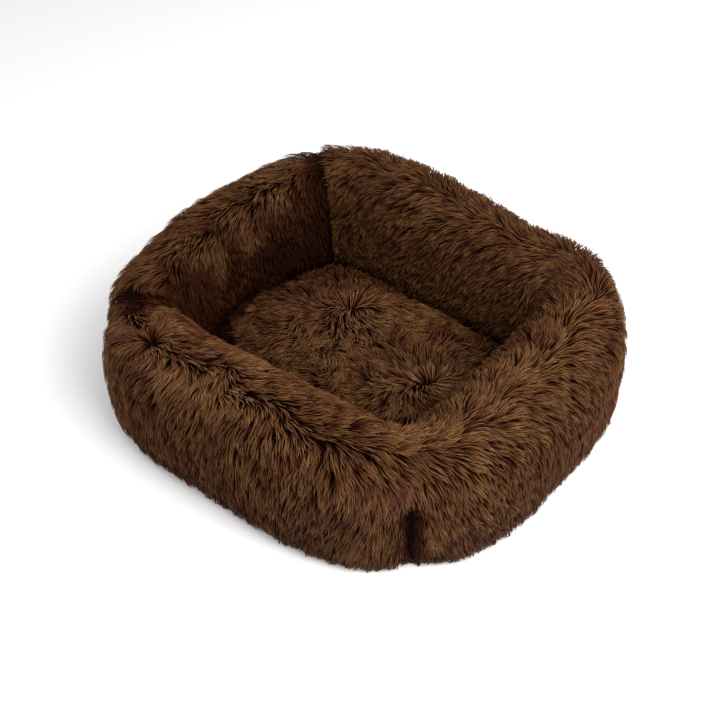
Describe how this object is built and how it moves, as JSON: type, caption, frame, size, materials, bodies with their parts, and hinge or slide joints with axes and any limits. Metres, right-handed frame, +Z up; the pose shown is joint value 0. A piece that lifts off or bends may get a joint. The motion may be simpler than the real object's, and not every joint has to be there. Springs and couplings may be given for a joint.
{
  "type": "pet cushion bed",
  "caption": "Rectangular shaggy pet bed with stuffed walls round a lift-out seat cushion, on a zipped base cloth.",
  "frame": {"origin": "middle of the footprint on the floor", "axes": "+X along the longer side, -Y is the front, +Z up"},
  "size_m": [0.6, 0.548, 0.1826],
  "materials": {
    "fur": "long brown pile, matt with a soft sheen",
    "lining": "plain brown woven lining",
    "filling": "white fibre filling",
    "base_cloth": "dark woven base cloth with grip dots",
    "zip_tape": "dark woven tape",
    "zip_coil": "dark moulded coil",
    "zip_metal": "aged nickel"
  },
  "bodies": {
    "bed_shell": {"base_cloth": "base_cloth", "floor_pad": "filling", "floor_lining": "lining", "front_wall_outer_panel": "fur", "front_wall_inner_panel": "fur", "front_wall_filling": "filling", "right_wall_outer_panel": "fur", "right_wall_inner_panel": "fur", "right_wall_filling": "filling", "back_wall_outer_panel": "fur", "back_wall_inner_panel": "fur", "back_wall_filling": "filling", "left_wall_outer_panel": "fur", "left_wall_inner_panel": "fur", "left_wall_filling": "filling", "zip_tape_front": "zip_tape", "zip_tape_rear": "zip_tape", "zip_coil_front": "zip_coil", "zip_coil_rear": "zip_coil", "zip_stop_left": "zip_metal", "zip_stop_right": "zip_metal"},
    "seat_cushion": {"cushion_top_panel": "fur", "cushion_filling": "filling", "cushion_bottom_panel": "lining"},
    "slider": {"zip_slider": "zip_metal"},
    "pull": {"zip_pull": "zip_metal"}
  },
  "joints": [
    {"name": "cushion_lift", "type": "slide", "parent": "bed_shell", "child": "seat_cushion", "axis": [0, 0, 1], "range_m": [0, 0.2]},
    {"name": "zip_slide", "type": "slide", "parent": "bed_shell", "child": "slider", "axis": [1, 0, 0], "range_m": [0, 0.261]},
    {"name": "pull_swing", "type": "hinge", "parent": "slider", "child": "pull", "pos_m": [-0.1388, 0.102, 0.00195], "axis": [0, 1, 0], "range_deg": [0, 100]}
  ]
}
